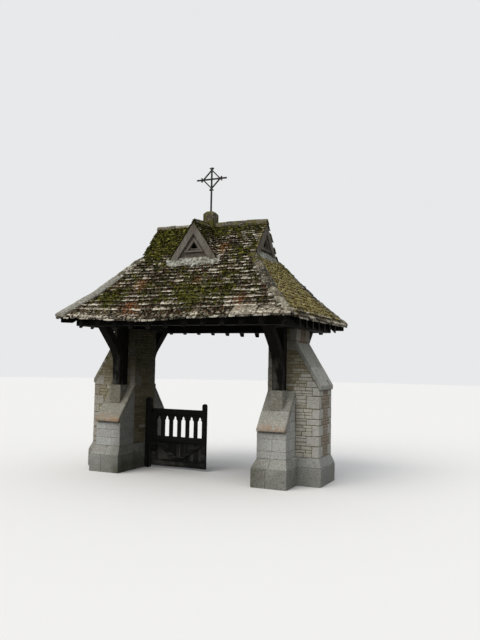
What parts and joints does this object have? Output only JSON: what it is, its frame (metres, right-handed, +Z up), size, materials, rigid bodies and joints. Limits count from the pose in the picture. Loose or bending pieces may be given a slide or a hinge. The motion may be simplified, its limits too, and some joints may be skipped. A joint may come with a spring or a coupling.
{
  "type": "lychgate",
  "caption": "Churchyard lychgate: buttressed stone piers carry an oak frame, a hipped stone-slate roof with gablets and an iron cross, over a pair of oak gates.",
  "frame": {"origin": "ground level, in the middle of the passage, halfway between the piers' front and rear", "axes": "+X to the right along the road front, -Y towards the road, +Z up"},
  "size_m": [4.21, 2.98, 5.1549],
  "materials": {
    "rubble": "coursed rubble, weathered",
    "dressed_stone": "dressed limestone, lichened",
    "ridge_stone": "angular ridge stone, mossy",
    "stone_slate": "stone slates with moss and lichen",
    "lead": "dull weathered lead",
    "wrought_iron": "blackened wrought iron",
    "gate_oak": "near-black stained oak",
    "frame_oak": "dark old oak",
    "weathered_oak": "silver-grey weathered oak"
  },
  "bodies": {
    "lychgate": {"cross_bargeboards": "weathered_oak", "end_bargeboards": "weathered_oak", "end_plates": "frame_oak", "end_rafters": "frame_oak", "end_trimmers": "frame_oak", "finial_block": "dressed_stone", "front_braces": "frame_oak", "front_gablet_roof": "stone_slate", "front_rafters": "frame_oak", "front_roof_slope": "stone_slate", "gablet_aprons": "lead", "gablet_panels": "weathered_oak", "gate_pintles": "wrought_iron", "gate_posts": "gate_oak", "hip_cappings": "ridge_stone", "hip_rafters": "frame_oak", "iron_cross": "wrought_iron", "left_coping": "dressed_stone", "left_front_buttress": "dressed_stone", "left_pier": "rubble", "left_plinth": "rubble", "left_rear_buttress": "dressed_stone", "left_roof_slope": "stone_slate", "long_plates": "frame_oak", "lower_weatherings": "dressed_stone", "pad_stones": "dressed_stone", "rear_braces": "frame_oak", "rear_gablet_roof": "stone_slate", "rear_rafters": "frame_oak", "rear_roof_slope": "stone_slate", "ridge_board": "frame_oak", "ridge_stones": "ridge_stone", "right_coping": "dressed_stone", "right_front_buttress": "dressed_stone", "right_pier": "rubble", "right_plinth": "rubble", "right_rear_buttress": "dressed_stone", "right_roof_slope": "stone_slate", "side_beams": "frame_oak", "upper_weatherings": "dressed_stone", "wall_posts": "frame_oak"},
    "left_leaf": {"left_gate_boards": "gate_oak", "left_gate_braces": "gate_oak", "left_gate_frame": "gate_oak", "left_gate_straps": "wrought_iron", "left_gate_tracery": "gate_oak"},
    "right_leaf": {"right_gate_boards": "gate_oak", "right_gate_braces": "gate_oak", "right_gate_frame": "gate_oak", "right_gate_straps": "wrought_iron", "right_gate_tracery": "gate_oak"}
  },
  "joints": [
    {"name": "left_gate_hinge", "type": "hinge", "parent": "lychgate", "child": "left_leaf", "pos_m": [-1.059, 0.062, 0.5], "axis": [0, 0, 1], "range_deg": [0, 90]},
    {"name": "right_gate_hinge", "type": "hinge", "parent": "lychgate", "child": "right_leaf", "pos_m": [1.059, 0.062, 0.5], "axis": [0, 0, 1], "range_deg": [0, 90]}
  ]
}
